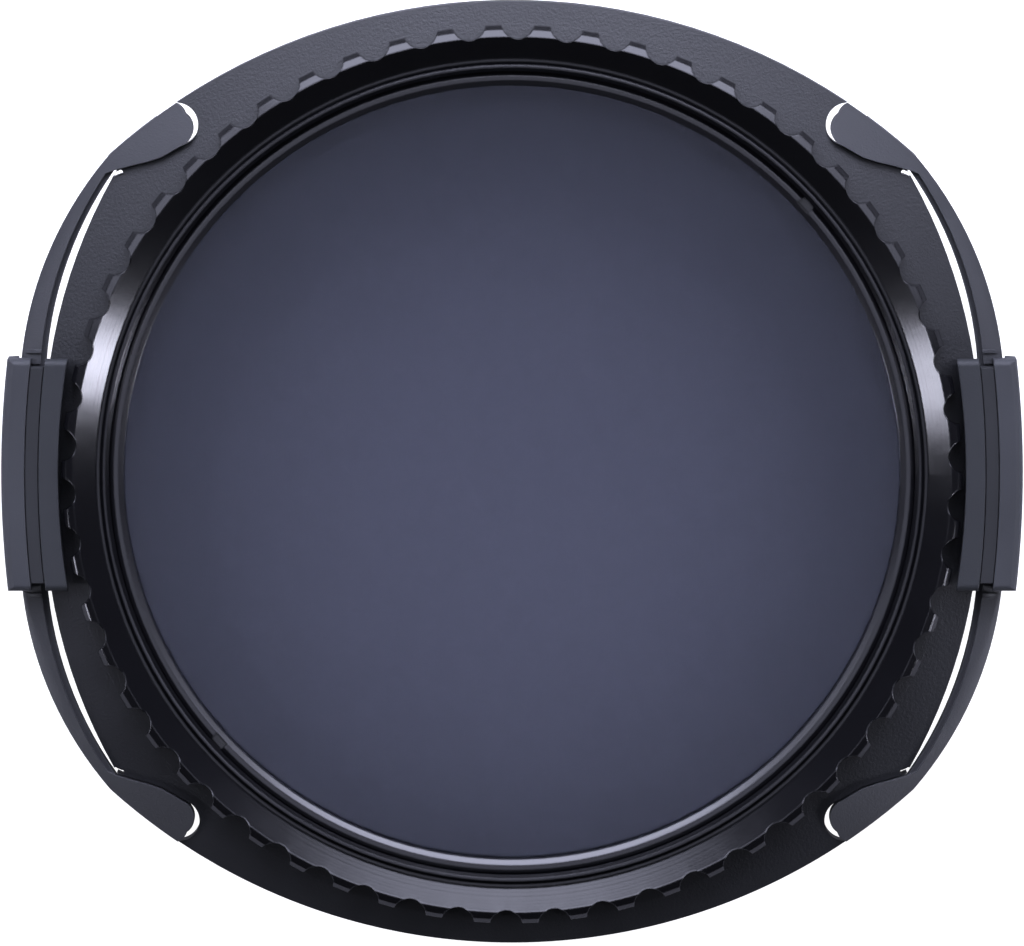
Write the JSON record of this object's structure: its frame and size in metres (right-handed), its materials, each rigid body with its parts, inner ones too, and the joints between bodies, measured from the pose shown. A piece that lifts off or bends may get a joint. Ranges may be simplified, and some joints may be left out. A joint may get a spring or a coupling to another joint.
{
  "type": "polarizing filter",
  "caption": "Round clip-on polarizing filter for a square-filter holder, with a fluted turning ring, an oval frame and sprung side clips.",
  "frame": {"origin": "on the optical axis, at the level of the rear tips of the two claws", "axes": "+Z along the optical axis, out of the front of the filter; +X along its longest side, through the right clip; +Y up in the picture"},
  "size_m": [0.129, 0.1194, 0.0136],
  "materials": {
    "frame_plastic": "satin black moulded plastic with a fine grain",
    "ring_black": "black anodised, satin with glossy edges",
    "retainer_black": "black anodised, with fine turning lines",
    "filter_glass": "clear coated optical glass",
    "film_dark": "grey polarising film",
    "film_clear": "clear retarder film",
    "glide_plastic": "natural low-friction plastic",
    "spring_steel": "blued spring steel",
    "band_plastic": "satin black moulded plastic",
    "core_plastic": "satin black moulded plastic",
    "grip_rubber": "matt dark grey soft-touch rubber",
    "screw_steel": "zinc-plated steel"
  },
  "bodies": {
    "frame": {"frame": "frame_plastic", "glide_ring": "glide_plastic", "left_spring_band": "band_plastic", "right_spring_band": "band_plastic", "upper_left_screw": "screw_steel", "upper_right_screw": "screw_steel", "lower_left_screw": "screw_steel", "lower_right_screw": "screw_steel"},
    "filter_ring": {"rotating_ring": "ring_black", "retaining_ring": "retainer_black", "front_glass": "filter_glass", "polarising_film": "film_dark", "quarter_wave_film": "film_clear", "rear_glass": "filter_glass", "snap_ring": "spring_steel"},
    "left_clip": {"left_clip_core": "core_plastic", "left_outer_grip": "grip_rubber", "left_inner_grip": "grip_rubber"},
    "right_clip": {"right_clip_core": "core_plastic", "right_outer_grip": "grip_rubber", "right_inner_grip": "grip_rubber"}
  },
  "joints": [
    {"name": "ring_turn", "type": "hinge", "parent": "frame", "child": "filter_ring", "pos_m": [0, 0, 0.0085], "axis": [0, 0, 1], "continuous": true},
    {"name": "left_clip_squeeze", "type": "hinge", "parent": "frame", "child": "left_clip", "pos_m": [-0.06, 0, 0.007], "axis": [0, 1, 0], "range_deg": [0, 3.2], "stiffness_Nm_per_rad": 0.4, "deforming": ["left_spring_band"]},
    {"name": "right_clip_squeeze", "type": "hinge", "parent": "frame", "child": "right_clip", "pos_m": [0.06, 0, 0.007], "axis": [0, -1, 0], "range_deg": [0, 3.2], "stiffness_Nm_per_rad": 0.4, "deforming": ["right_spring_band"]}
  ]
}
